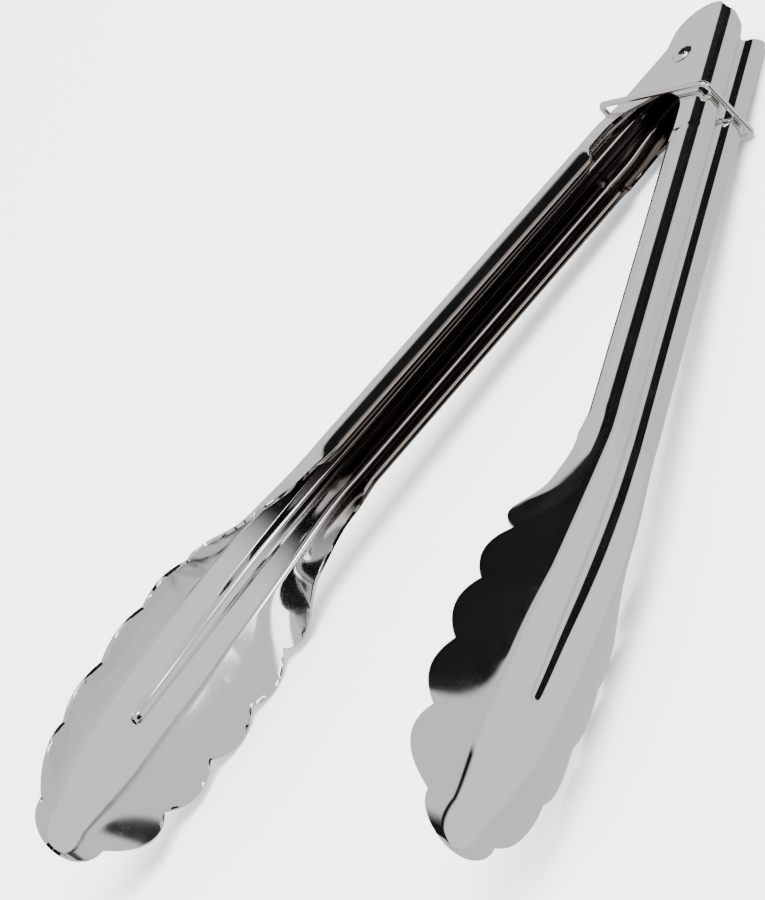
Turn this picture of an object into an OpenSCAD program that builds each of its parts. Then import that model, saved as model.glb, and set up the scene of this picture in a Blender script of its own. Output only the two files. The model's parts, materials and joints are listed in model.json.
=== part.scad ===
// Spring loaded kitchen tongs: two pressed sheet-steel arms on one rivet,
// pushed apart by a torsion spring and held by a sliding wire ring.
// Each arm is drawn along +X from the rivet, its back at +Y, the rivet along Z.

/* [Arms] */
// Distance from the rivet to the tip of each spoon
reach = 290.6; // [240:0.2:360]
// Thickness of the sheet
sheet = 1; // [0.8:0.05:1.3]
// Width of the outer arm at the rivet
arm_w = 19; // [15:0.2:24]
// Width of both arms where the spoon begins
arm_w_spoon = 20.2; // [16:0.2:26]
// Distance from the rivet to the outside of the back
back_y = 14.85; // [13:0.05:18]
// Distance from the rivet to the free edge of the flanges
edge_y = 3.4; // [2:0.1:5]
// The same behind the rolled edges, next to the rivet
lip_y = 5.9; // [4:0.1:7]
// Outside radius of the bent corners
corner_r = 3.8; // [2.5:0.1:4.2]
// Radius of the rolled edge along the handle
bead_r = 1.3; // [0.8:0.1:1.8]
// How far the flanges are drawn in at the rolled edge
tuck = 1.4; // [0.6:0.1:1.8]
// Angle between the two arms when open
open_angle = 42.2; // [34:0.1:46]

/* [Spoons] */
// Length of the spoon, from the flare to the tip
spoon_len = 125; // [100:1:150]
// Width of the spoon at its widest scallop corners
spoon_w = 46.6; // [36:0.2:56]
// How far the rim drops from the flange edge to the tip
crank = 16.5; // [13:0.1:20]
// Height of a scallop over its corners
lobe_h = 3.4; // [1.5:0.1:4]

/* [Groove] */
// Depth of the stiffening groove
groove_d = 1.8; // [1:0.1:2.4]
// Width of the groove between its edges
groove_w = 6.4; // [4:0.1:8]
// Distance from the groove's rounded end to the tip
groove_end = 42; // [35:1:60]

/* [Hinge] */
// Radius of the round rear end of the ears
ear_r = 11.2; // [9:0.1:13]
// Radius of the rivet's shank
rivet_r = 2.2; // [1.5:0.1:2.4]
// Radius of the rivet's domed heads
head_r = 3.4; // [3:0.1:5]
// Height of the rivet's domed heads
head_h = 1.3; // [0.8:0.1:2]
// Running clearance of the rivet in the ears
rivet_gap = 0.05; // [0.02:0.01:0.1]
// How much smaller the inner arm's ears are rounded, to clear the outer arm
ear_trim = 1.9; // [1.5:0.1:3]
// Gap between the nested ears, and under the rivet heads
ear_gap = 0.1; // [0.05:0.05:0.3]

/* [Spring] */
// Diameter of the spring wire
spring_d = 1.2; // [0.8:0.1:1.4]
// Radius of the coil's centre line
coil_r = 3.7; // [3.4:0.1:4.4]
// Whole turns of the coil before the legs are taken off
turns = 7; // [5:1:7]
// Length of each leg along its arm
leg_len = 38; // [30:1:50]

/* [Ring] */
// Diameter of the ring's wire
ring_d = 1.9; // [1.5:0.1:2.4]
// Distance from the rivet to the ring with the arms open
ring_x = 17.3; // [15:0.1:24]
// Gap between the ring and the flanges
ring_side_gap = 0.7; // [0.3:0.1:1.2]
// Gap between the ring and the backs of the open arms
ring_back_gap = 0.12; // [0.08:0.01:0.3]
// Bend radius of the ring's corners, to the wire's centre
ring_bend = 2.4; // [1.8:0.1:3]

/* [Hidden] */
$fn = 64;
half_open = open_angle / 2;
steel = [0.80, 0.80, 0.79];

// Positions along an arm
join_x = 34;
spoon_x = reach - spoon_len;
roll_x = 37;
roll_run = 4;
bead_to = spoon_x - 16;
tip_y = edge_y - crank;

// Scallop corners: distance from the tip and half width, as shares of the
// spoon's length and half width, and the share of the rim's drop reached there
CORNERS = [
    [0.874, 0.614, 0.02], [0.692, 0.893, 0.071], [0.544, 1, 0.289],
    [0.389, 0.993, 0.491], [0.232, 0.912, 0.685], [0.0744, 0.545, 0.90]
];
// Height of each scallop as a share of lobe_h, and how far it leans forward
LOBE_SHARE = [1.25, 1, 1, 1, 1.5];
LOBE_LEAN = [1.7, 1, 1, 1, 1];
corner_x = [for (c = CORNERS) reach - c[0] * spoon_len];
last_x = corner_x[5];
tip_lobe = reach - last_x;

function clamp(v) = max(0, min(1, v));
function smooth(a, b, x) = let (t = clamp((x - a) / (b - a))) t * t * (3 - 2 * t);

// A smooth curve through a list of [x, value] points
function slope(P, i) =
    let (a = max(0, i - 1), b = min(len(P) - 1, i + 1))
    (P[b][1] - P[a][1]) / (P[b][0] - P[a][0]);
function span_of(P, x, i = 0) = (i >= len(P) - 2 || x < P[i + 1][0]) ? i : span_of(P, x, i + 1);
function curve(P, x) =
    let (i = span_of(P, x), h = P[i + 1][0] - P[i][0], t = (x - P[i][0]) / h)
    P[i][1] * (2 * t * t * t - 3 * t * t + 1) + P[i + 1][1] * (3 * t * t - 2 * t * t * t)
    + h * slope(P, i) * (t * t * t - 2 * t * t + t) + h * slope(P, i + 1) * (t * t * t - t * t);

// Half width of the bent channel, w0 at the rivet
function handle_w(x, w0) =
    let (w1 = arm_w_spoon / 2, wide = arm_w / 2 + (w1 - arm_w / 2) * clamp((x - join_x) / (spoon_x - join_x)))
    wide - (arm_w / 2 - w0) * (1 - smooth(18, join_x - 2, x));

// Rim of the sheet without its scallops: half width and height
WIDE = concat(
    [[spoon_x - 14, arm_w_spoon / 2], [spoon_x, arm_w_spoon / 2 + 0.3]],
    [for (i = [0:5]) [corner_x[i], CORNERS[i][1] * spoon_w / 2]]
);
DROP = concat([[spoon_x, 0]], [for (i = [0:5]) [corner_x[i], CORNERS[i][2]]], [[reach, 1]]);
function rim_w(x) =
    x < spoon_x - 14 ? handle_w(x, arm_w / 2)
    : x < last_x ? curve(WIDE, x)
    : CORNERS[5][1] * spoon_w / 2 * sqrt(max(0, 1 - pow((x - last_x) / tip_lobe, 2)));
function rim_y(x) =
    x < spoon_x ? lip_y + (edge_y - lip_y) * smooth(roll_x, roll_x + roll_run, x) : edge_y - crank * curve(DROP, x);

// Height of the scallop over the rim at x
function lobe_of(x) =
    let (i = span_of([for (c = corner_x) [c, 0]], x))
    (x <= corner_x[0] || x >= last_x) ? 0
    : let (f = pow((x - corner_x[i]) / (corner_x[i + 1] - corner_x[i]), LOBE_LEAN[i]))
      lobe_h * LOBE_SHARE[i] * (1 - pow(2 * f - 1, 2));

// Outside of the back as [share of the spoon's length, share of the drop to
// the tip], and the half width at which its side walls begin
SPINE = [
    [-0.04, 0], [0.1, 0.028], [0.228, 0.087], [0.356, 0.176],
    [0.483, 0.284], [0.635, 0.41], [0.835, 0.655], [1, 1]
];
SPINE_DROP = [for (p = SPINE) [spoon_x + p[0] * spoon_len, p[1]]];
function spine_y(x) =
    x < SPINE_DROP[0][0] ? back_y : back_y - (back_y - tip_y - sheet) * curve(SPINE_DROP, x);
fade_x = reach - 79;
function land_w(x, w0) =
    let (fade = clamp((x - fade_x) / (reach - fade_x)))
    max(handle_w(min(x, spoon_x), w0) * (1 - fade * fade * fade), 0.45 * rim_w(x));

// Groove: its depth, and the half width between its edges
function groove_depth(x) = groove_d * (1 - smooth(reach - groove_end - 16, reach - groove_end, x));
function groove_half(x) =
    min(groove_w / 2 * (1 - 0.4 * smooth(spoon_x + 30, reach - groove_end, x)), 0.4 * land_w(x, arm_w / 2));

// How much of the rolled edge's form, and of the spoon's bulge, x has
function curl_of(x) = smooth(roll_x, roll_x + roll_run, x) * (1 - smooth(bead_to, spoon_x - 3, x));
function bulge_of(x) = spoon_bulge * smooth(spoon_x - 5, spoon_x + 25, x) * (1 - smooth(reach - 25, reach - 4, x));

// Half of the section at x, from the middle of the back to the rim and back
// inside, as [y, z] points. w0 is the arm's half width at the rivet.
arc_n = 5;
bead_n = 6;
wall_n = 3;
knee = 3;
spoon_bulge = 0.9;
tip_round = 9;
bend_share = 0.42;
bend_inside_min = 0.15;
groove_floor = 0.25;
groove_shift = 0.4;
function bead_at(x) = sheet / 2 + (bead_r - sheet / 2) * curl_of(x);
function unit(v) = v / norm(v);
function half_section(x, w0, edge = undef) =
    let (
        yb = spine_y(x),
        wb = land_w(x, w0),
        wide = max(x < spoon_x - 14 ? handle_w(x, w0) : rim_w(x), wb + 0.001),
        low = is_undef(edge) ? rim_y(x) : edge,
        curl = is_undef(edge) ? curl_of(x) : 0,
        rim0 = [wide - tuck * curl, low],
        chord = unit(rim0 - [wb, yb]),
        bent = ([wb, yb] + rim0) / 2 + bulge_of(x) * [-chord[1], chord[0]],
        ctrl = bent + curl * ([wide, low + knee] - bent),
        down = unit(rim0 - ctrl),
        out = [-down[1], down[0]],
        rim = rim0 + lobe_of(x) * down,
        wall = atan2(yb - ctrl[1], ctrl[0] - wb),
        grow = corner_r + tip_round * smooth(reach - 90, reach - 20, x),
        tangent = min(grow * tan(wall / 2), bend_share * wb),
        r = tangent / tan(wall / 2),
        ri = max(r - sheet, bend_inside_min),
        from = [wb - tangent + r * sin(wall), yb - r + r * cos(wall)],
        gd = groove_depth(x),
        gt = groove_half(x),
        gf = groove_floor * gt,
        k = min(groove_shift * sheet, 0.05 * rim_w(x)),
        rb = bead_at(x),
        bead_c = rim - rb * out,
        sweep = 360 - acos(-(sheet - rb) / rb),
        wall_at = [for (t = [1:wall_n - 1]) t / wall_n],
        skin = [for (t = wall_at) pow(1 - t, 2) * from + 2 * t * (1 - t) * ctrl + t * t * rim],
        away = [for (t = wall_at) let (d = unit((1 - t) * (ctrl - from) + t * (rim - ctrl))) [-d[1], d[0]]]
    )
    let (points = concat(
        [[0, yb - gd], [gf, yb - gd], [gt, yb]],
        [for (i = [0:arc_n]) let (a = 90 - wall * i / arc_n) [wb - tangent + r * cos(a), yb - r + r * sin(a)]],
        is_undef(edge) ? skin : [],
        is_undef(edge)
            ? [for (i = [0:bead_n]) let (a = sweep * i / bead_n) bead_c + rb * (cos(a) * out + sin(a) * down)]
            : [rim, rim - sheet * out],
        is_undef(edge) ? [for (i = [wall_n - 2:-1:0]) skin[i] - sheet * away[i]] : [],
        [for (i = [arc_n:-1:0]) let (a = 90 - wall * i / arc_n) [wb - tangent + ri * cos(a), yb - sheet - ri + ri * sin(a)]],
        [[gt + k, yb - sheet], [gf + k, yb - gd - sheet], [0, yb - gd - sheet]]
    ))
    [for (p = points) [p[1], p[0]]];

// The whole closed section: one half, then the other half mirrored
function section(x, w0, edge = undef) =
    let (h = half_section(x, w0, edge), n = len(h))
    concat(h, [for (i = [n - 2:-1:1]) [h[i][0], -h[i][1]]]);

// Stations along the formed part of an arm
lobe_steps = 6;
tip_n = 6;
tip_sweep = 83.7;
STATIONS = concat(
    [join_x, roll_x, roll_x + roll_run / 2, roll_x + roll_run, (roll_x + bead_to) / 2, bead_to],
    [bead_to + 6, spoon_x - 3, spoon_x + 4, spoon_x + 10],
    [for (i = [0:4], s = [0:lobe_steps - 1]) corner_x[i] + (corner_x[i + 1] - corner_x[i]) * s / lobe_steps],
    [for (s = [0:tip_n]) last_x + tip_lobe * sin(tip_sweep * s / tip_n)]
);

// Faces that close the end of the sheet: strips across its thickness, and
// the round rim, for one half and then for the mirrored half
wall_i = 2 + arc_n + wall_n;
end_i = 2 * wall_i + bead_n + 2;
HALF_CAP = concat(
    [for (j = [0:wall_i - 1]) [j, j + 1, end_i - j - 1, end_i - j]],
    [[wall_i, wall_i + 1, wall_i + 1 + bead_n, wall_i + 2 + bead_n]],
    [[for (j = [0:bead_n]) wall_i + 1 + j]]
);
function across(i) = (i == 0 || i == end_i) ? i : 2 * end_i - i;
CAP = concat(HALF_CAP, [for (f = HALF_CAP) [for (i = [len(f) - 1:-1:0]) across(f[i])]]);

module loft(w0) {
    rings = [for (x = STATIONS) [for (p = section(x, w0)) [x, p[0], p[1]]]];
    n = len(rings[0]);
    m = len(rings);
    points = [for (r = rings, p = r) p];
    sides = [for (j = [0:m - 2], i = [0:n - 1], half = [0, 1])
        let (a = j * n + i, b = j * n + (i + 1) % n)
        half == 0 ? [b, a, a + n] : [a + n, b + n, b]];
    last = [for (f = CAP) [for (i = [len(f) - 1:-1:0]) f[i] + (m - 1) * n]];
    polyhedron(points, concat(sides, CAP, last), convexity = 6);
}

// Side outline of the rivet end: a round rear end, a straight free edge past
// the rivet, and a sweep up to the flange's edge
ear_x = -8;
ear_y = 4.2;
ear_cut = 2.5;
sweep_x = 8;
sweep_r = 6;
blend_r = 12;
free_y = ear_y - ear_r;
blend_top = lip_y + 0.01;
module ear_outline(round_r) {
    slant = 45;
    blend_x = sweep_x + (sweep_r + blend_r) * sin(slant)
        + (blend_top - free_y - (sweep_r + blend_r) * (1 - cos(slant))) / tan(slant);
    translate([ear_x, ear_y]) circle(r = round_r);
    polygon(concat(
        [[ear_x, ear_y], [ear_x + sqrt(ear_r * ear_r - round_r * round_r) / 2, free_y]],
        [for (a = [-90:5:-90 + slant]) [sweep_x + sweep_r * cos(a), free_y + sweep_r + sweep_r * sin(a)]],
        [for (a = [90 + slant:-5:90]) [blend_x + blend_r * cos(a), blend_top - blend_r + blend_r * sin(a)]],
        [[join_x, blend_top], [join_x, back_y + 1], [ear_x - ear_cut, back_y + 1]]
    ));
}

// The rivet end of an arm: the straight channel cut to the side outline,
// with a blunt V cut into the end of the back and the rivet's bore
notch = [[-7.6, 0], [-8, 1], [-11, 4], [-12.4, 5.8], [-14, 10]];
notch_deep = 4;
module rivet_end(w0, round_r) {
    difference() {
        intersection() {
            translate([ear_x - ear_r - 2, 0, 0]) rotate([90, 0, 90])
                linear_extrude(height = join_x - ear_x + ear_r + 2) polygon(section(0, w0, -back_y));
            translate([0, 0, -arm_w]) linear_extrude(height = 2 * arm_w) ear_outline(round_r);
        }
        translate([0, back_y + 1, 0]) rotate([90, 0, 0]) linear_extrude(height = 1 + notch_deep)
            polygon(concat([for (p = notch) p], [[-30, 10], [-30, -10]], [for (i = [4:-1:1]) [notch[i][0], -notch[i][1]]]));
        translate([0, 0, -arm_w]) cylinder(r = rivet_r + rivet_gap, h = 2 * arm_w);
    }
}

module arm(w0, round_r) {
    rivet_end(w0, round_r);
    loft(w0);
}

// The open tongs lie on their side, on the ring and the spoons' lower scallops
RIMS = [for (x = STATIONS) if (x > spoon_x) for (p = half_section(x, arm_w / 2))
    [x * cos(half_open) - p[0] * sin(half_open), x * sin(half_open) + p[0] * cos(half_open), p[1]]];
ring_z = arm_w / 2 + ring_side_gap + ring_d / 2;
ring_low = ring_z + ring_d / 2;
lie = max([for (p = RIMS) atan((p[2] - ring_low) / (p[0] - ring_x))]);
lift = ring_low * cos(lie) - ring_x * sin(lie);
far_x = max([for (p = RIMS) p[0] * cos(lie) + p[2] * sin(lie)]);
rear_x = (ear_x * cos(half_open) - ear_y * sin(half_open) - ear_r) * cos(lie) - arm_w / 2 * sin(lie);
mid_x = (far_x + rear_x) / 2;
module laid() {
    translate([-mid_x, 0, lift]) rotate([0, -lie, 0]) children();
}

module outer_arm() {
    color(steel) laid() rotate([0, 0, half_open]) arm(arm_w / 2, ear_r);
}

module inner_arm() {
    color(steel) laid() rotate([0, 0, -half_open]) mirror([0, 1, 0]) arm(arm_w / 2 - sheet - ear_gap, ear_r - ear_trim);
}

// Rivet: a plain shank with a domed head at each end
module head_profile() {
    dome = (head_r * head_r + head_h * head_h) / (2 * head_h);
    intersection() {
        translate([0, head_h - dome]) circle(r = dome, $fn = 128);
        square([head_r, head_h]);
    }
}
module pivot_rivet() {
    grip = arm_w / 2 + ear_gap;
    color([0.86, 0.86, 0.85]) laid() rotate_extrude() {
        translate([0, -grip]) square([rivet_r, 2 * grip]);
        translate([0, grip]) head_profile();
        mirror([0, 1]) translate([0, grip]) head_profile();
    }
}

// Torsion spring: its path is a leg, the coil and the other leg
leg_y = back_y - sheet - spring_d / 2 - 0.15;
leg_z = groove_w / 2 + groove_shift * sheet + spring_d / 2 + 0.3;
leg_turn = atan2(leg_y, leg_len - 8) + acos(coil_r / norm([leg_len - 8, leg_y]));
coil_from = half_open + leg_turn;
coil_sweep = 360 * turns - 2 * coil_from;
function turned(p, a) = [p[0] * cos(a) - p[1] * sin(a), p[0] * sin(a) + p[1] * cos(a)];
coil_n = 18 * turns;
LEG_OUT = [for (p = [[leg_len, leg_y], [leg_len - 6, leg_y], [leg_len - 9, leg_y - 0.5]]) turned(p, half_open)];
PATH = concat(
    [for (p = LEG_OUT) [p[0], p[1], -leg_z]],
    [for (i = [0:coil_n]) let (a = coil_from + coil_sweep * i / coil_n)
        [coil_r * cos(a), coil_r * sin(a), leg_z * (2 * i / coil_n - 1)]],
    [for (i = [2:-1:0]) [LEG_OUT[i][0], -LEG_OUT[i][1], leg_z]]
);
wire_n = 8;
module torsion_spring() {
    n = len(PATH);
    points = [for (i = [0:n - 1])
        let (
            go = PATH[min(n - 1, i + 1)] - PATH[max(0, i - 1)],
            flat = norm([go[0], go[1]]),
            side = [-go[1] / flat, go[0] / flat, 0]
        )
        for (k = [0:wire_n - 1])
            let (a = 360 * k / wire_n)
            PATH[i] + spring_d / 2 * (cos(a) * side + sin(a) * [0, 0, 1])];
    sides = [for (i = [0:n - 2], k = [0:wire_n - 1], half = [0, 1])
        let (a = i * wire_n + k, b = i * wire_n + (k + 1) % wire_n)
        half == 0 ? [a, b, a + wire_n] : [b, b + wire_n, a + wire_n]];
    first = [for (k = [wire_n - 1:-1:0]) k];
    last = [for (k = [0:wire_n - 1]) (n - 1) * wire_n + k];
    color([0.72, 0.72, 0.70]) laid() polyhedron(points, concat(sides, [first, last]), convexity = 8);
}

// Ring: one closed loop of wire, square to the middle line between the arms
back_at_ring = ring_x * tan(half_open) + back_y / cos(half_open);
ring_y = back_at_ring + (ring_d / 2 + ring_back_gap) / cos(half_open);
module ring_corner() {
    rotate_extrude(angle = 90) translate([ring_bend, 0]) circle(d = ring_d);
}
module ring_side(length) {
    translate([0, 0, -length / 2]) cylinder(d = ring_d, h = length);
}
module lock_ring() {
    flat_y = ring_y - ring_bend;
    flat_z = ring_z - ring_bend;
    color([0.84, 0.83, 0.80]) laid() translate([ring_x, 0, 0]) rotate([0, 90, 0]) {
        for (s = [0, 180]) rotate([0, 0, s]) {
            translate([flat_z, flat_y, 0]) ring_corner();
            translate([-flat_z, flat_y, 0]) rotate([0, 0, 90]) ring_corner();
            translate([ring_z, 0, 0]) rotate([90, 0, 0]) ring_side(2 * flat_y);
            translate([0, ring_y, 0]) rotate([0, 90, 0]) ring_side(2 * flat_z);
        }
    }
}

outer_arm();
inner_arm();
pivot_rivet();
torsion_spring();
lock_ring();
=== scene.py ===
import json
import math
import bmesh
import bpy
import numpy as np
from mathutils import Matrix, Vector


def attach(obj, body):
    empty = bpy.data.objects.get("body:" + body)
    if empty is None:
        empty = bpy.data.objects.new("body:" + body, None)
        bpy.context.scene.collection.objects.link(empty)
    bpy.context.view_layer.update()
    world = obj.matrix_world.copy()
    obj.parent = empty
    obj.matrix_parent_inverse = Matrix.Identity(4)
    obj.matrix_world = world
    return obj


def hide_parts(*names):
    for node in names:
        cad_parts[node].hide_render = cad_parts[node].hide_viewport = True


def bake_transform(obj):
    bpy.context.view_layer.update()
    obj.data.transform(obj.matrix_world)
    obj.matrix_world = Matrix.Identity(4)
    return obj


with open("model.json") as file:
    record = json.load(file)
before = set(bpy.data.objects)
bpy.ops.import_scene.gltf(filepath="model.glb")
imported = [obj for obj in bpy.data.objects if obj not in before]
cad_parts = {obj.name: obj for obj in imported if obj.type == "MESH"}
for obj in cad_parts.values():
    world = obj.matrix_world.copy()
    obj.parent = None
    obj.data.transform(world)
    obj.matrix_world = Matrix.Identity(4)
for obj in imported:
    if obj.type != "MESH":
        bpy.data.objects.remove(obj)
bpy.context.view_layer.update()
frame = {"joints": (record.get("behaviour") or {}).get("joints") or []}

# ---------------------------------------------------------------------------
# How the tongs lie. They rest on one side, on the wire ring and on the lower
# scallops, so the rivet's axis leans back a little. Everything below is drawn
# with the rivet at the origin and is laid down by this one placement.
MM = 0.001
pivot = next(j for j in frame["joints"] if j["name"] == "arm_pivot")
rivet_axis = Vector(pivot["axis"]).normalized()
rivet_at = Vector(pivot["pos_m"])
along = Vector((rivet_axis.z, 0, -rivet_axis.x))
lay = Matrix.Translation(rivet_at) @ Matrix((along, Vector((0, 1, 0)), rivet_axis)).transposed().to_4x4()
half_open = math.radians(21.1)


def place(obj, body, node):
    """Puts a piece drawn round the rivet into the frame and hands it to its body."""
    obj.data.transform(lay)
    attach(obj, body)
    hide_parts(node)


# ---------------------------------------------------------------------------
# Camera: a long lens above the tongs' side, turned so that the rivet is at the
# top right and the spoons hang towards the lower left.
aim = lay @ Vector((135.2 * MM, -48.4 * MM, 0))
look = lay.to_3x3() @ Vector((-0.4197, -0.8044, -0.4204))
up = lay.to_3x3() @ Vector((-0.7743, 0.0757, 0.6283))
cam_data = bpy.data.cameras.new("camera")
camera = bpy.data.objects.new("camera", cam_data)
bpy.context.scene.collection.objects.link(camera)
back = -look.normalized()
right = up.cross(back).normalized()
turn = Matrix((right, back.cross(right), back)).transposed().to_4x4()
camera_distance = 1.279
camera.matrix_world = Matrix.Translation(aim + back * camera_distance) @ turn
cam_data.sensor_width = 36
cam_data.lens = 179.4
cam_data.clip_end = 20
bpy.context.scene.camera = camera

# ---------------------------------------------------------------------------
# Studio: a pale floor, a soft overhead light, and pale surroundings. Polished
# steel shows its surroundings, so mirror rays see dark cards between the
# lights, as in a lighting tent.
bpy.ops.mesh.primitive_plane_add(size=6)
floor = bpy.context.object
floor.name = "floor"
floor_paint = bpy.data.materials.new("floor_paint")
floor_paint.use_nodes = True
floor_shader = floor_paint.node_tree.nodes["Principled BSDF"]
floor_shader.inputs["Base Color"].default_value = (0.9, 0.9, 0.9, 1)
floor_shader.inputs["Roughness"].default_value = 0.9
floor.data.materials.append(floor_paint)
floor.visible_glossy = False

light_data = bpy.data.lights.new("overhead", "AREA")
light_data.energy = 150
light_data.size = 1.6
overhead = bpy.data.objects.new("overhead", light_data)
overhead_at = Vector((-0.4, 0.5, 1.8))
overhead.location = overhead_at
overhead.rotation_euler = overhead_at.to_track_quat("Z", "Y").to_euler()
overhead.visible_glossy = False
bpy.context.scene.collection.objects.link(overhead)

world = bpy.data.worlds.new("studio")
bpy.context.scene.world = world
world.use_nodes = True
wt = world.node_tree
wt.nodes.clear()


def math_node(tree, op, a, b=None, c=None):
    """One Math node; a, b and c are sockets or numbers."""
    node = tree.nodes.new("ShaderNodeMath")
    node.operation = op
    for i, v in enumerate((a, b, c)):
        if v is None:
            continue
        if isinstance(v, (int, float)):
            node.inputs[i].default_value = v
        else:
            tree.links.new(v, node.inputs[i])
    return node.outputs[0]


def soft_step(tree, value, low, high):
    """0 below low, 1 above high, smooth between."""
    node = tree.nodes.new("ShaderNodeMapRange")
    node.interpolation_type = "SMOOTHSTEP"
    tree.links.new(value, node.inputs["Value"])
    node.inputs["From Min"].default_value = low
    node.inputs["From Max"].default_value = high
    return node.outputs["Result"]


direction = wt.nodes.new("ShaderNodeTexCoord").outputs["Generated"]
split = wt.nodes.new("ShaderNodeSeparateXYZ")
wt.links.new(direction, split.inputs[0])
DEGREES = 57.2958
turned_by = math_node(wt, "ARCTAN2", split.outputs["Y"], split.outputs["X"])
azimuth = math_node(wt, "MULTIPLY", turned_by, DEGREES)
height = math_node(wt, "MULTIPLY", math_node(wt, "ARCSINE", split.outputs["Z"]), DEGREES)

# Cards round the tongs, painted over one another in this order: azimuth and
# height of the middle, half width and half height, softness of the edge, all in
# degrees, and the light each sends back
CARDS = [
    (76, -20, 34, 26, 5, 0.012),
    (120, -26, 38, 22, 8, 1.3),
    (172, 36, 41, 24, 4, 0.015),
    (-150, 38, 24, 14, 9, 0.03),
    (71, 10, 12, 16, 4, 0.015),
    (88, 76, 60, 14, 6, 5.0),
    (82, 34, 10, 8, 4, 8.0),
    (-122, 24, 12, 9, 6, 1.2),
    (-138, 55, 30, 17.5, 6, 0.012),
    (-172, 80, 28, 7.5, 4, 0.015),
]
level = 1.1
for card_az, card_el, wide, tall, soft, light in CARDS:
    off = math_node(wt, "SUBTRACT", azimuth, card_az)
    off = math_node(wt, "ABSOLUTE", math_node(wt, "WRAP", off, 180, -180))
    side = soft_step(wt, off, wide + soft / 2, wide - soft / 2)
    rise = math_node(wt, "ABSOLUTE", math_node(wt, "SUBTRACT", height, card_el))
    tier = soft_step(wt, rise, tall + soft / 2, tall - soft / 2)
    mask = math_node(wt, "MULTIPLY", side, tier)
    rest = math_node(wt, "MULTIPLY", level, math_node(wt, "SUBTRACT", 1, mask))
    level = math_node(wt, "ADD", rest, math_node(wt, "MULTIPLY", mask, light))
mirror_light = wt.nodes.new("ShaderNodeBackground")
wt.links.new(level, mirror_light.inputs["Strength"])
plain_light = wt.nodes.new("ShaderNodeBackground")
plain_light.inputs["Color"].default_value = (0.95, 0.96, 1, 1)
plain_light.inputs["Strength"].default_value = 2.6
path = wt.nodes.new("ShaderNodeLightPath")
choose = wt.nodes.new("ShaderNodeMixShader")
wt.links.new(path.outputs["Is Glossy Ray"], choose.inputs[0])
wt.links.new(plain_light.outputs[0], choose.inputs[1])
wt.links.new(mirror_light.outputs[0], choose.inputs[2])
world_out = wt.nodes.new("ShaderNodeOutputWorld")
wt.links.new(choose.outputs[0], world_out.inputs[0])

# ---------------------------------------------------------------------------
# The two arms: stainless sheet, 1 mm thick, blanked with a scalloped outline,
# pressed into a channel with a groove down its back and a dished spoon, its
# handle edges rolled inwards, then polished bright.
reach = 290.6
sheet = 1.0
arm_w = 19.0
arm_w_spoon = 20.2
back_y = 14.85
edge_y = 3.4
lip_y = 5.9
corner_r = 3.8
tuck = 1.4
knee = 3.0
spoon_len = 125
spoon_x = reach - spoon_len
spoon_w = 46.6
spoon_bulge = 0.9
crank = 16.5
tip_y = edge_y - crank
lobe_h = 3.4
ear_gap = 0.1
join_x = 34.0
CORNERS = [
    (0.874, 0.614, 0.02), (0.692, 0.893, 0.071), (0.544, 1.0, 0.289),
    (0.389, 0.993, 0.491), (0.232, 0.912, 0.685), (0.0744, 0.545, 0.90),
]
LOBE_SHARE = (1.25, 1, 1, 1, 1.5)
LOBE_LEAN = (1.7, 1, 1, 1, 1)
SPINE = [
    (-0.04, 0), (0.1, 0.028), (0.228, 0.087), (0.356, 0.176),
    (0.483, 0.284), (0.635, 0.41), (0.835, 0.655), (1, 1),
]
corner_x = [reach - c[0] * spoon_len for c in CORNERS]
last_x = corner_x[-1]
spine_drop = [(spoon_x + p[0] * spoon_len, p[1]) for p in SPINE]


def clamp(v):
    return max(0.0, min(1.0, v))


def smooth(a, b, x):
    t = clamp((x - a) / (b - a))
    return t * t * (3 - 2 * t)


def curve_through(points, x):
    """A smooth curve through (x, value) points."""
    n = len(points)
    i = 0
    while i < n - 2 and x >= points[i + 1][0]:
        i += 1

    def slope(k):
        a, b = max(0, k - 1), min(n - 1, k + 1)
        return (points[b][1] - points[a][1]) / (points[b][0] - points[a][0])

    h = points[i + 1][0] - points[i][0]
    t = (x - points[i][0]) / h
    return (points[i][1] * (2 * t**3 - 3 * t**2 + 1) + points[i + 1][1] * (3 * t**2 - 2 * t**3)
            + h * slope(i) * (t**3 - 2 * t**2 + t) + h * slope(i + 1) * (t**3 - t**2))


WIDE = [(spoon_x - 14, arm_w_spoon / 2), (spoon_x, arm_w_spoon / 2 + 0.3)]
WIDE += [(x, c[1] * spoon_w / 2) for x, c in zip(corner_x, CORNERS)]
DROP = [(spoon_x, 0)] + [(x, c[2]) for x, c in zip(corner_x, CORNERS)] + [(reach, 1)]


def handle_w(x, w0):
    """Half width of the bent channel; w0 is the half width at the rivet."""
    grown = arm_w / 2 + (arm_w_spoon / 2 - arm_w / 2) * clamp((x - join_x) / (spoon_x - join_x))
    return grown - (arm_w / 2 - w0) * (1 - smooth(18, join_x - 2, x))


def rim_w(x, w0=arm_w / 2):
    """Half width of the sheet at its rim, without the scallops."""
    if x < spoon_x - 14:
        return handle_w(x, w0)
    if x < last_x:
        return curve_through(WIDE, x)
    return CORNERS[-1][1] * spoon_w / 2 * math.sqrt(max(0, 1 - ((x - last_x) / (reach - last_x)) ** 2))


ear_x = -8.0
ear_y = 4.2
ear_r = 11.2
ear_trim = 1.9
ear_shy = 0.02
free_y = ear_y - ear_r
sweep_x = 8.0
sweep_r = 6.0
blend_r = 12.0
slant = math.pi / 4
bends = sweep_r + blend_r
blend_x = sweep_x + bends * math.sin(slant) + lip_y - free_y - bends * (1 - math.cos(slant))
roll_x = 37.0
roll_run = 4.0
roll_end = spoon_x - 16


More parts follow.
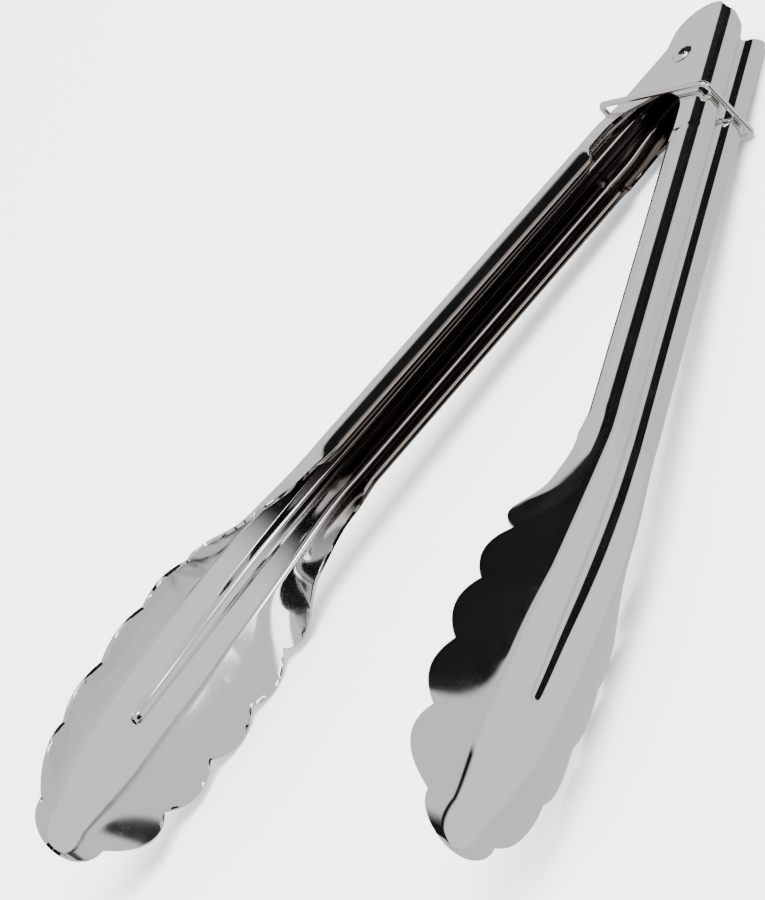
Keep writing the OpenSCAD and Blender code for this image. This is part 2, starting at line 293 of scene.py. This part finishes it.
def rim_y(x):
    """Free edge of the flange, round the ear, along the handle and the spoon."""
    if x <= sweep_x:
        return free_y
    if x < sweep_x + sweep_r * math.sin(slant):
        return free_y + sweep_r - math.sqrt(sweep_r**2 - (x - sweep_x) ** 2)
    if x < blend_x - blend_r * math.sin(slant):
        return free_y + sweep_r * (1 - math.cos(slant)) + x - sweep_x - sweep_r * math.sin(slant)
    if x < blend_x:
        return lip_y - blend_r + math.sqrt(blend_r**2 - (blend_x - x) ** 2)
    if x < spoon_x:
        return lip_y + (edge_y - lip_y) * smooth(roll_x, roll_x + roll_run, x)
    return edge_y - (edge_y - tip_y) * curve_through(DROP, x)


def lobe_of(x):
    """Height of the scallop over the rim at x."""
    if x <= corner_x[0] or x >= last_x:
        return 0.0
    i = max(k for k in range(5) if x >= corner_x[k])
    f = ((x - corner_x[i]) / (corner_x[i + 1] - corner_x[i])) ** LOBE_LEAN[i]
    return lobe_h * LOBE_SHARE[i] * (1 - (2 * f - 1) ** 2)


def spine_y(x):
    """Outside of the back."""
    if x < spine_drop[0][0]:
        return back_y
    return back_y - (back_y - tip_y - sheet) * curve_through(spine_drop, x)


land_fade = 79.0


def land_w(x, w0):
    """Half width of the back, where the side walls begin."""
    fade = clamp((x - reach + land_fade) / land_fade)
    return max(handle_w(min(x, spoon_x), w0) * (1 - fade**3), 0.45 * rim_w(x, w0))


groove_stop = reach - 44.5
groove_d = 1.8
groove_half = 3.3
groove_floor = 0.12


def groove_drop(x, z):
    """Depth of the groove at a point of the back: round-ended and tapering."""
    taper = smooth(spoon_x + 30, groove_stop + 6, x)
    half = groove_half * (1 - 0.4 * taper)
    away = math.hypot(z, max(0, x - groove_stop))
    return groove_d * (1 - smooth(groove_floor * half, half, away)) * (1 - 0.35 * taper)


roll_r = 1.3
COLUMNS_LAND = 24
COLUMNS_ARC = 12
COLUMNS_WALL = 16
COLUMNS_ROLL = 14


def half_section(x, w0):
    """Outside of the sheet at x as (y, z) points, middle of the back to rim."""
    yb, wb, low = spine_y(x), land_w(x, w0), rim_y(x)
    wide = max(rim_w(x, w0), wb + 0.001)
    curl = smooth(roll_x, roll_x + roll_run, x) * (1 - smooth(roll_end, spoon_x - 3, x))
    bulge = spoon_bulge * smooth(spoon_x - 5, spoon_x + 25, x) * (1 - smooth(reach - 25, reach - 4, x))
    rim = np.array((low, wide - tuck * curl))
    sharp = np.array((yb, wb))
    chord = (rim - sharp) / np.linalg.norm(rim - sharp)
    bent = (sharp + rim) / 2 + bulge * np.array((chord[1], -chord[0]))
    ctrl = bent + curl * (np.array((low + knee, wide)) - bent)
    down = (rim - ctrl) / np.linalg.norm(rim - ctrl)
    out = np.array((down[1], -down[0]))
    rim = rim + lobe_of(x) * down
    wall = math.atan2(yb - ctrl[0], ctrl[1] - wb)
    grow = corner_r + 9 * smooth(reach - 90, reach - 20, x)
    tangent = min(grow * math.tan(wall / 2), 0.42 * wb)
    r = tangent / math.tan(wall / 2)
    flat = wb - tangent
    inner = min(3.6, 0.8 * flat)
    pts = []
    for k in range(COLUMNS_LAND):
        t = k / COLUMNS_LAND
        z = inner * t / 0.8 if t < 0.8 else inner + (flat - inner) * (t - 0.8) / 0.2
        pts.append((yb - groove_drop(x, z), z))
    for k in range(COLUMNS_ARC + 1):
        a = wall * k / COLUMNS_ARC
        pts.append((yb - r + r * math.cos(a), flat + r * math.sin(a)))
    start = np.array(pts[-1])
    for k in range(1, COLUMNS_WALL + 1):
        t = k / COLUMNS_WALL
        pts.append(tuple((1 - t) ** 2 * start + 2 * t * (1 - t) * ctrl + t * t * rim))
    centre = rim - roll_r * out
    sweep = math.radians(3 + 200 * curl)
    for k in range(1, COLUMNS_ROLL + 1):
        a = sweep * k / COLUMNS_ROLL
        pts.append(tuple(centre + roll_r * (math.cos(a) * out + math.sin(a) * down)))
    return pts


def rear_start(y, z, w0):
    """Where the sheet begins at a point of the section: round ears, notched back."""
    radius = ear_r - ear_shy
    if w0 < arm_w / 2:
        radius -= ear_trim
    ring = ear_x - math.sqrt(max(0, radius**2 - (min(y, back_y - 1.1) - ear_y) ** 2))
    back = -7.6 - 6 * math.sin(min(1, abs(z) / 9.5) * math.pi / 2)
    turn = clamp((back_y - y) / corner_r) if abs(z) > w0 - corner_r else 0
    return back + (ring - back) * turn


def stations():
    """Places along the arm, closer where its shape changes quickly."""
    xs = list(np.linspace(sweep_x, 34, 40)) + list(np.linspace(34.8, roll_x, 5))
    xs += list(np.linspace(roll_x + 0.3, roll_x + roll_run, 12)) + list(np.linspace(45, roll_end - 5, 30))
    xs += list(np.linspace(roll_end, spoon_x - 3, 12)) + list(np.linspace(spoon_x - 2, corner_x[0] - 1, 10))
    for i in range(5):
        xs += list(np.linspace(corner_x[i], corner_x[i + 1], 21)[:-1])
    xs += [last_x + (reach - last_x) * math.sin(math.pi / 2 * k / 30 * 0.994) for k in range(31)]
    return xs


def arm_mesh(name, w0, side):
    """The outside skin of one arm as a grid, then given its thickness. Its first material goes
    outside; its second, darkened as painted shade, goes inside and on the rolled edges."""
    rear_rows = 14
    base = half_section(sweep_x, w0)
    n = len(base)
    rows = []
    for k in range(rear_rows):
        t = k / rear_rows
        rows.append([(rear_start(y, z, w0) * (1 - t) + sweep_x * t, y, z) for y, z in base])
    rows += [[(x, y, z) for y, z in half_section(x, w0)] for x in stations()]
    full = []
    for row in rows:
        full.append([(x, y, -z) for x, y, z in row[:0:-1]] + list(row))
    width = 2 * n - 1
    turn_z = Matrix.Rotation(side * half_open, 4, "Z")
    verts = [turn_z @ Vector((x * MM, side * y * MM, z * MM)) for row in full for x, y, z in row]
    faces = []
    for j in range(len(full) - 1):
        for i in range(width - 1):
            a = j * width + i
            quad = (a, a + 1, a + width + 1, a + width)
            faces.append(quad if side > 0 else quad[::-1])
    mesh = bpy.data.meshes.new(name)
    mesh.from_pydata(verts, [], faces)
    mesh.materials.append(arm_steel)
    mesh.materials.append(shaded_inside_steel)
    flank = COLUMNS_LAND + COLUMNS_ARC + COLUMNS_WALL
    for poly in mesh.polygons:
        column = poly.index % (width - 1)
        # the rolled edge's faces take the second material, darkened as painted shade
        poly.material_index = int(abs(column + 0.5 - (n - 1)) > flank)
    mesh.validate()
    obj = bpy.data.objects.new(name, mesh)
    bpy.context.scene.collection.objects.link(obj)
    solid = obj.modifiers.new("thickness", "SOLIDIFY")
    solid.thickness = sheet * MM
    solid.offset = -1
    solid.use_even_offset = True
    # the inner faces take the second material, darkened as painted shade
    solid.material_offset = 1
    edge = obj.modifiers.new("softened_edges", "BEVEL")
    edge.width = 0.16 * MM
    edge.segments = 2
    edge.limit_method = "ANGLE"
    edge.angle_limit = math.radians(50)
    evaluated = obj.evaluated_get(bpy.context.evaluated_depsgraph_get())
    finished = bpy.data.meshes.new_from_object(evaluated)
    obj.modifiers.clear()
    obj.data = finished
    for poly in finished.polygons:
        poly.use_smooth = True
    finished.set_sharp_from_angle(angle=math.radians(60))
    return obj


# Polish marks: fine scratches along the arm and a faint haze, shared by every
# polished piece, each with its own strength
marks = bpy.data.node_groups.new("polish_marks", "ShaderNodeTree")
marks.interface.new_socket("Grain", in_out="INPUT", socket_type="NodeSocketFloat")
marks.interface.new_socket("Base", in_out="INPUT", socket_type="NodeSocketFloat")
marks.interface.new_socket("Roughness", in_out="OUTPUT", socket_type="NodeSocketFloat")
marks.interface.new_socket("Height", in_out="OUTPUT", socket_type="NodeSocketFloat")
g_in = marks.nodes.new("NodeGroupInput")
g_out = marks.nodes.new("NodeGroupOutput")
coord = marks.nodes.new("ShaderNodeTexCoord")
stretch = marks.nodes.new("ShaderNodeMapping")
stretch.inputs["Scale"].default_value = (0.06, 1, 1)
marks.links.new(coord.outputs["Object"], stretch.inputs["Vector"])
scratches = marks.nodes.new("ShaderNodeTexNoise")
scratches.inputs["Scale"].default_value = 2600
scratches.inputs["Detail"].default_value = 4
marks.links.new(stretch.outputs[0], scratches.inputs["Vector"])
haze = marks.nodes.new("ShaderNodeTexNoise")
haze.inputs["Scale"].default_value = 60
haze.inputs["Detail"].default_value = 6
marks.links.new(coord.outputs["Object"], haze.inputs["Vector"])
specks = marks.nodes.new("ShaderNodeTexNoise")
specks.inputs["Scale"].default_value = 900
specks.inputs["Detail"].default_value = 2
marks.links.new(coord.outputs["Object"], specks.inputs["Vector"])
haze_step = soft_step(marks, haze.outputs["Fac"], 0.45, 0.75)
speck_step = soft_step(marks, specks.outputs["Fac"], 0.62, 0.72)
rough = math_node(marks, "ADD", g_in.outputs["Base"], math_node(marks, "MULTIPLY", haze_step, 0.05))
rough = math_node(marks, "ADD", rough, math_node(marks, "MULTIPLY", speck_step, 0.05))
marks.links.new(rough, g_out.inputs["Roughness"])
scratch_height = math_node(marks, "MULTIPLY", scratches.outputs["Fac"], g_in.outputs["Grain"])
marks.links.new(scratch_height, g_out.inputs["Height"])


def steel(name, colour, base, grain):
    """Bright steel: nearly a mirror, with its polish marks."""
    mat = bpy.data.materials.new(name)
    mat.use_nodes = True
    tree = mat.node_tree
    shader = tree.nodes["Principled BSDF"]
    shader.inputs["Base Color"].default_value = (*colour, 1)
    shader.inputs["Metallic"].default_value = 1
    group = tree.nodes.new("ShaderNodeGroup")
    group.node_tree = marks
    group.inputs["Base"].default_value = base
    group.inputs["Grain"].default_value = grain
    tree.links.new(group.outputs["Roughness"], shader.inputs["Roughness"])
    bump = tree.nodes.new("ShaderNodeBump")
    bump.inputs["Strength"].default_value = 0.15
    bump.inputs["Distance"].default_value = 0.000008
    tree.links.new(group.outputs["Height"], bump.inputs["Height"])
    tree.links.new(bump.outputs["Normal"], shader.inputs["Normal"])
    return mat


arm_steel = steel("polished_sheet", (0.80, 0.795, 0.785), 0.05, 1.0)
# Inside the handle, and on its rolled edges, the colour is darkened as painted shade for
# the dim light there. The painted shade fades out where the spoon begins.
shaded_inside_steel = steel("shaded_inside_sheet", (0.80, 0.795, 0.785), 0.07, 1.0)
it = shaded_inside_steel.node_tree
place_in = it.nodes.new("ShaderNodeSeparateXYZ")
it.links.new(it.nodes.new("ShaderNodeTexCoord").outputs["Object"], place_in.inputs[0])
painted_shade = it.nodes.new("ShaderNodeMix")
painted_shade.data_type = "RGBA"
it.links.new(soft_step(it, place_in.outputs["X"], 0.012, 0.042), painted_shade.inputs["Factor"])
# painted shade: a dark brown colour in place of the dim light inside the channel
painted_shade.inputs["A"].default_value = (0.13, 0.115, 0.105, 1)
painted_shade.inputs["B"].default_value = (0.80, 0.795, 0.785, 1)
it.links.new(painted_shade.outputs["Result"], it.nodes["Principled BSDF"].inputs["Base Color"])
outer_w = arm_w / 2
inner_w = arm_w / 2 - sheet - ear_gap
for name, w0, side, body, node in (
    ("outer_arm_pressing", outer_w, 1, "outer", "outer_arm"),
    ("inner_arm_pressing", inner_w, -1, "inner", "inner_arm"),
):
    arm = arm_mesh(name, w0, side)
    place(arm, body, node)

# ---------------------------------------------------------------------------
# The lock ring: bright steel wire bent into a rounded rectangle and closed
# with a butt weld. Swept along its own centre line.
ring_d = 1.9
ring_x = 17.3
ring_side_gap = 0.7
ring_back_gap = 0.12
ring_z = arm_w / 2 + ring_side_gap + ring_d / 2
ring_y = ring_x * math.tan(half_open) + (back_y + ring_d / 2 + ring_back_gap) / math.cos(half_open)


def wire_tree(name):
    """A tree that sweeps a round wire along a curve."""
    tree = bpy.data.node_groups.new(name, "GeometryNodeTree")
    tree.interface.new_socket("Geometry", in_out="INPUT", socket_type="NodeSocketGeometry")
    tree.interface.new_socket("Radius", in_out="INPUT", socket_type="NodeSocketFloat")
    tree.interface.new_socket("Finish", in_out="INPUT", socket_type="NodeSocketMaterial")
    tree.interface.new_socket("Geometry", in_out="OUTPUT", socket_type="NodeSocketGeometry")
    n_in = tree.nodes.new("NodeGroupInput")
    n_out = tree.nodes.new("NodeGroupOutput")
    circle = tree.nodes.new("GeometryNodeCurvePrimitiveCircle")
    circle.inputs["Resolution"].default_value = 24
    tree.links.new(n_in.outputs["Radius"], circle.inputs["Radius"])
    sweep = tree.nodes.new("GeometryNodeCurveToMesh")
    sweep.inputs["Fill Caps"].default_value = True
    tree.links.new(n_in.outputs["Geometry"], sweep.inputs[0])
    tree.links.new(circle.outputs["Curve"], sweep.inputs[1])
    realize = tree.nodes.new("GeometryNodeRealizeInstances")
    tree.links.new(sweep.outputs[0], realize.inputs[0])
    paint = tree.nodes.new("GeometryNodeSetMaterial")
    tree.links.new(realize.outputs[0], paint.inputs["Geometry"])
    tree.links.new(n_in.outputs["Finish"], paint.inputs["Material"])
    tree.links.new(paint.outputs[0], n_out.inputs[0])
    return tree


wire = wire_tree("swept_wire")


def sweep_wire(name, points, closed, radius, finish):
    """A wire of that radius along the points, as a plain smooth mesh."""
    data = bpy.data.curves.new(name + "_line", "CURVE")
    data.dimensions = "3D"
    line = data.splines.new("POLY")
    line.points.add(len(points) - 1)
    for p, co in zip(line.points, points):
        p.co = (*[c * MM for c in co], 1)
    line.use_cyclic_u = closed
    guide = bpy.data.objects.new(name + "_line", data)
    bpy.context.scene.collection.objects.link(guide)
    mod = guide.modifiers.new("wire", "NODES")
    mod.node_group = wire
    ids = {i.name: i.identifier for i in wire.interface.items_tree if i.in_out == "INPUT"}
    mod[ids["Radius"]] = radius * MM
    mod[ids["Finish"]] = finish
    mesh = bpy.data.meshes.new_from_object(guide.evaluated_get(bpy.context.evaluated_depsgraph_get()))
    bpy.data.objects.remove(guide)
    obj = bpy.data.objects.new(name, mesh)
    bpy.context.scene.collection.objects.link(obj)
    for poly in mesh.polygons:
        poly.use_smooth = True
    mesh.set_sharp_from_angle(angle=math.radians(50))
    return obj


ring_bend = 2.4
ring_line = []
for a0, sy, sz in ((0, 1, 1), (90, -1, 1), (180, -1, -1), (270, 1, -1)):
    for k in range(13):
        a = math.radians(a0 + 90 * k / 12)
        ring_line.append((
            ring_x,
            sy * (ring_y - ring_bend) + ring_bend * math.cos(a),
            sz * (ring_z - ring_bend) + ring_bend * math.sin(a),
        ))
ring_wire = steel("bright_wire", (0.82, 0.80, 0.76), 0.06, 0.6)
ring = sweep_wire("lock_ring_wire", ring_line, True, ring_d / 2, ring_wire)
place(ring, "ring", "lock_ring")

# ---------------------------------------------------------------------------
# The torsion spring: hard-drawn wire wound round the rivet between the ears.
# One leg lies along the inside of each arm. The coil is drawn as one fixed shape and does not twist here.
spring_d = 1.2
coil_r = 3.7
turns = 7
leg_len = 38
leg_y = back_y - sheet - spring_d / 2 - 0.15
leg_z = 4.88
leg_turn = math.atan2(leg_y, leg_len - 8) + math.acos(coil_r / math.hypot(leg_len - 8, leg_y))
coil_from = half_open + leg_turn
coil_sweep = 2 * math.pi * turns - 2 * coil_from
leg_out = []
for x, y in ((leg_len, leg_y), (leg_len - 6, leg_y), (leg_len - 9, leg_y - 0.5)):
    leg_out.append((
        x * math.cos(half_open) - y * math.sin(half_open),
        x * math.sin(half_open) + y * math.cos(half_open),
    ))
spring_line = [(x, y, -leg_z) for x, y in leg_out]
coil_n = 48 * turns
for k in range(coil_n + 1):
    a = coil_from + coil_sweep * k / coil_n
    spring_line.append((coil_r * math.cos(a), coil_r * math.sin(a), leg_z * (2 * k / coil_n - 1)))
spring_line += [(x, -y, leg_z) for x, y in leg_out[::-1]]
spring_wire = steel("drawn_wire", (0.70, 0.70, 0.68), 0.16, 1.0)
spring = sweep_wire("torsion_spring_wire", spring_line, False, spring_d / 2, spring_wire)
spring.data.transform(lay)
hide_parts("torsion_spring")
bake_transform(spring)

# ---------------------------------------------------------------------------
# The rivet: a turned pin through all four ears, peened at both ends into low
# domes. Turned from one profile.
rivet_r = 2.2
head_r = 3.4
head_h = 1.3
grip = arm_w / 2 + ear_gap
dome = (head_r**2 + head_h**2) / (2 * head_h)
profile = [(rivet_r, 0.0), (rivet_r, grip), (head_r - 0.15, grip), (head_r, grip + 0.12)]
tilt_top = math.asin((head_r - 0.05) / dome)
for k in range(13):
    a = tilt_top * (1 - k / 12)
    profile.append((dome * math.sin(a), grip + head_h - dome + dome * math.cos(a)))
rings = profile[:0:-1]
outline = [(r, -z) for r, z in rings] + profile[1:]
spin_n = 96
mesh = bpy.data.meshes.new("rivet")
verts = []
faces = []
for r, z in outline:
    for k in range(spin_n):
        a = 2 * math.pi * k / spin_n
        verts.append((max(r, 0.0) * MM * math.cos(a), max(r, 0.0) * MM * math.sin(a), z * MM))
for j in range(len(outline) - 1):
    for k in range(spin_n):
        a, b = j * spin_n + k, j * spin_n + (k + 1) % spin_n
        faces.append((a, b, b + spin_n, a + spin_n))
mesh.from_pydata(verts, [], faces)
turned = bmesh.new()
turned.from_mesh(mesh)
bmesh.ops.remove_doubles(turned, verts=turned.verts, dist=1e-7)
bmesh.ops.recalc_face_normals(turned, faces=turned.faces)
turned.to_mesh(mesh)
turned.free()
for poly in mesh.polygons:
    poly.use_smooth = True
mesh.set_sharp_from_angle(angle=math.radians(35))
rivet = bpy.data.objects.new("pivot_rivet_pin", mesh)
bpy.context.scene.collection.objects.link(rivet)
rivet_steel = steel("rivet_steel", (0.82, 0.82, 0.81), 0.07, 0.4)
mesh.materials.append(rivet_steel)
place(rivet, "rivet", "pivot_rivet")
